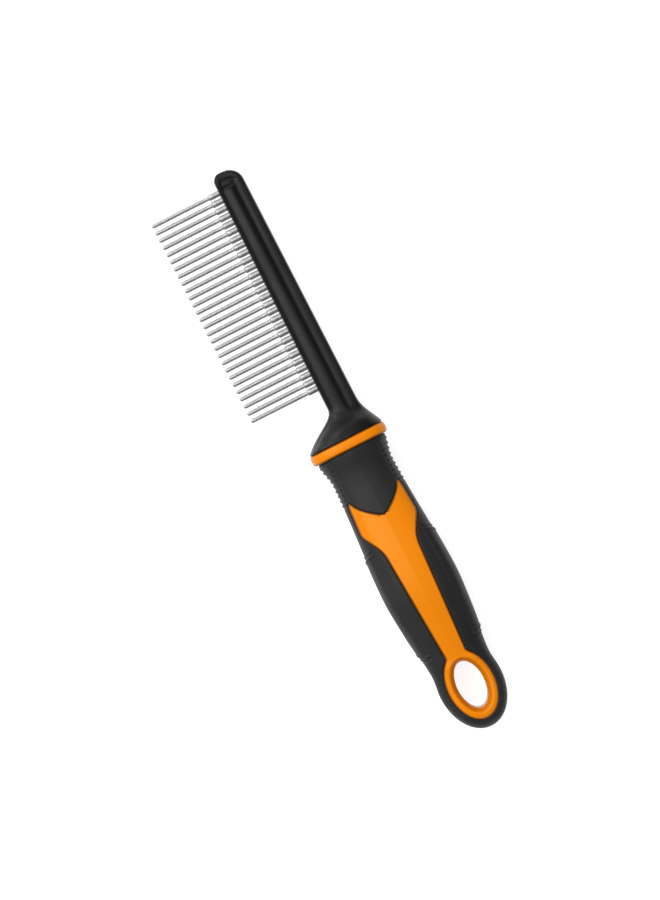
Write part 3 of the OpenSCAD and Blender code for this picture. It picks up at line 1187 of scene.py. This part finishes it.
def grip_rubber():
    material, shader = plastic(
        "matt black soft rubber",
        [(0.0155, 0.0155, 0.016, 1), (0.02, 0.02, 0.0205, 1), (0.035, 0.034, 0.033, 1),
         (0.1, 0.1, 0.1, 1)],
        rough=(0.5, 0.58), grain=5200.0, bump_by=(0.22, 0.00005))
    shader.inputs["Specular IOR Level"].default_value = 0.3
    return material


def pin_steel():
    """Polished steel wire with faint lines round it."""
    material, tree, shader = new_material("polished steel", 0.3, 1.0)
    where = object_place(tree)
    stretch = tree.nodes.new("ShaderNodeMapping")
    stretch.inputs["Scale"].default_value = (400.0, 9000.0, 400.0)
    tree.links.new(where, stretch.inputs["Vector"])
    lines = noise_node(tree, stretch.outputs["Vector"], 1.0, 2.0, 0.5)
    dust_out = use(tree, DUST, Speck_scale=2400.0, Amount=0.2)
    colour = mix_colour(tree, lines, (0.46, 0.465, 0.47, 1), (0.52, 0.525, 0.53, 1))
    colour = mix_colour(tree, dust_out["Dust"], colour, (0.5, 0.5, 0.5, 1))
    tree.links.new(colour, shader.inputs["Base Color"])
    tree.links.new(ramp_node(tree, lines, (0.2, 0.8, 0.42, 0.5)), shader.inputs["Roughness"])
    add_bump(tree, shader, lines, 0.08, 0.00002)
    return material


# ---- Floor, light and camera, in metres ----

FLOOR_GAP = 0.0002
FLOOR_HALF = 3.0
VIEW_TURN = math.radians(27.0)
VIEW_DISTANCE = 1.2
VIEW_HEIGHT = 0.306
VIEW_AIM = Vector((0.003715, 0.00048, 0.0))
FLOOR_GLOW = 0.8
ROOM_AMBIENT = 0.62


def seen_rays(tree):
    """1 for what the camera, reflections and glass see, and 0 for the light that falls on things."""
    path = tree.nodes.new("ShaderNodeLightPath")
    seen = math_node(tree, "MAXIMUM", path.outputs["Is Camera Ray"], path.outputs["Is Glossy Ray"])
    return math_node(tree, "MAXIMUM", seen, path.outputs["Is Transmission Ray"])


def floor():
    """A plain pale floor that camera and reflections see as white, and that keeps the shadow."""
    bm = bmesh.new()
    bmesh.ops.create_grid(bm, x_segments=8, y_segments=8, size=FLOOR_HALF)
    made = add_mesh(bm, "floor")
    made.location.z = cad_box[0][2] - FLOOR_GAP
    material = bpy.data.materials.new("pale floor")
    material.use_nodes = True
    tree = material.node_tree
    tree.nodes.clear()
    out = tree.nodes.new("ShaderNodeOutputMaterial")
    diffuse = tree.nodes.new("ShaderNodeBsdfDiffuse")
    diffuse.inputs["Color"].default_value = (0.5, 0.5, 0.5, 1)
    glow = tree.nodes.new("ShaderNodeEmission")
    both = tree.nodes.new("ShaderNodeAddShader")
    strength = math_node(tree, "MULTIPLY", seen_rays(tree), FLOOR_GLOW)
    tree.links.new(strength, glow.inputs["Strength"])
    tree.links.new(diffuse.outputs[0], both.inputs[0])
    tree.links.new(glow.outputs[0], both.inputs[1])
    tree.links.new(both.outputs[0], out.inputs["Surface"])
    made.data.materials.append(material)


def softbox(name, place, target, size, power):
    """A rectangular studio light that faces a point."""
    data = bpy.data.lights.new(name, "AREA")
    data.shape = "RECTANGLE"
    data.size, data.size_y = size
    data.energy = power
    made = add_object(name, data)
    made.location = place
    aim = Vector(target) - Vector(place)
    made.rotation_mode = "QUATERNION"
    made.rotation_quaternion = aim.to_track_quat("-Z", "Y")


def studio():
    """A wide light high up past head and pins, a low one under it, and a room palest on that side."""
    softbox("key", place=(0.85, 0.72, 1.6), target=(0.85, 0.72, 0.0), size=(2.0, 1.45), power=26.5)
    softbox("low side light", place=(1.25, 0.6, 0.42), target=(0.0, 0.0, 0.0), size=(1.0, 0.55),
            power=5.0)
    world = bpy.data.worlds.new("pale room")
    bpy.context.scene.world = world
    world.use_nodes = True
    tree = world.node_tree
    tree.nodes.clear()
    out = tree.nodes.new("ShaderNodeOutputWorld")
    back = tree.nodes.new("ShaderNodeBackground")
    where = tree.nodes.new("ShaderNodeTexCoord").outputs["Generated"]
    parts = tree.nodes.new("ShaderNodeSeparateXYZ")
    tree.links.new(where, parts.inputs[0])
    low_x = ramp_node(tree, parts.outputs["X"], (-0.8, 0.15, 0.2, 1.0))
    low_y = ramp_node(tree, parts.outputs["Y"], (-0.7, 0.2, 0.12, 1.0))
    low = math_node(tree, "MULTIPLY", low_x, low_y)
    height = ramp_node(tree, parts.outputs["Z"], (0.1, 0.75, 0.0, 1.0))
    rim = mix_value(tree, height, low, 0.27)
    seen = seen_rays(tree)
    glow = math_node(tree, "MULTIPLY", rim, seen)
    unseen = math_node(tree, "SUBTRACT", 1.0, seen)
    ambient = math_node(tree, "MULTIPLY", unseen, ROOM_AMBIENT)
    tree.links.new(math_node(tree, "ADD", glow, ambient), back.inputs["Strength"])
    tree.links.new(back.outputs[0], out.inputs["Surface"])


def camera():
    """Straight above the comb with a long lens, turned so that the head is up and to the left."""
    right = Vector((-math.sin(VIEW_TURN), -math.cos(VIEW_TURN), 0.0))
    up = Vector((math.cos(VIEW_TURN), -math.sin(VIEW_TURN), 0.0))
    data = bpy.data.cameras.new("camera")
    data.sensor_width = 36.0
    data.lens = data.sensor_width / VIEW_HEIGHT * VIEW_DISTANCE
    data.clip_start = 0.01
    data.clip_end = 50.0
    made = add_object("camera", data)
    low, high = cad_box
    middle = Vector(((low[0] + high[0]) / 2, (low[1] + high[1]) / 2, ORIGIN.z))
    middle += VIEW_AIM
    turned = Matrix((right, up, Vector((0, 0, 1)))).transposed().to_4x4()
    made.matrix_world = Matrix.Translation(middle + Vector((0, 0, VIEW_DISTANCE))) @ turned
    bpy.context.scene.camera = made


# ---- The scene ----

STEEL = pin_steel()
comb_head(head_plastic())
for pin_number in range(1, PIN_COUNT + 1):
    steel_pin(pin_number, STEEL)
handle_core(core_plastic())
rubber_grip(grip_rubber())

floor()
studio()
camera()
bpy.context.scene.view_settings.view_transform = "Standard"
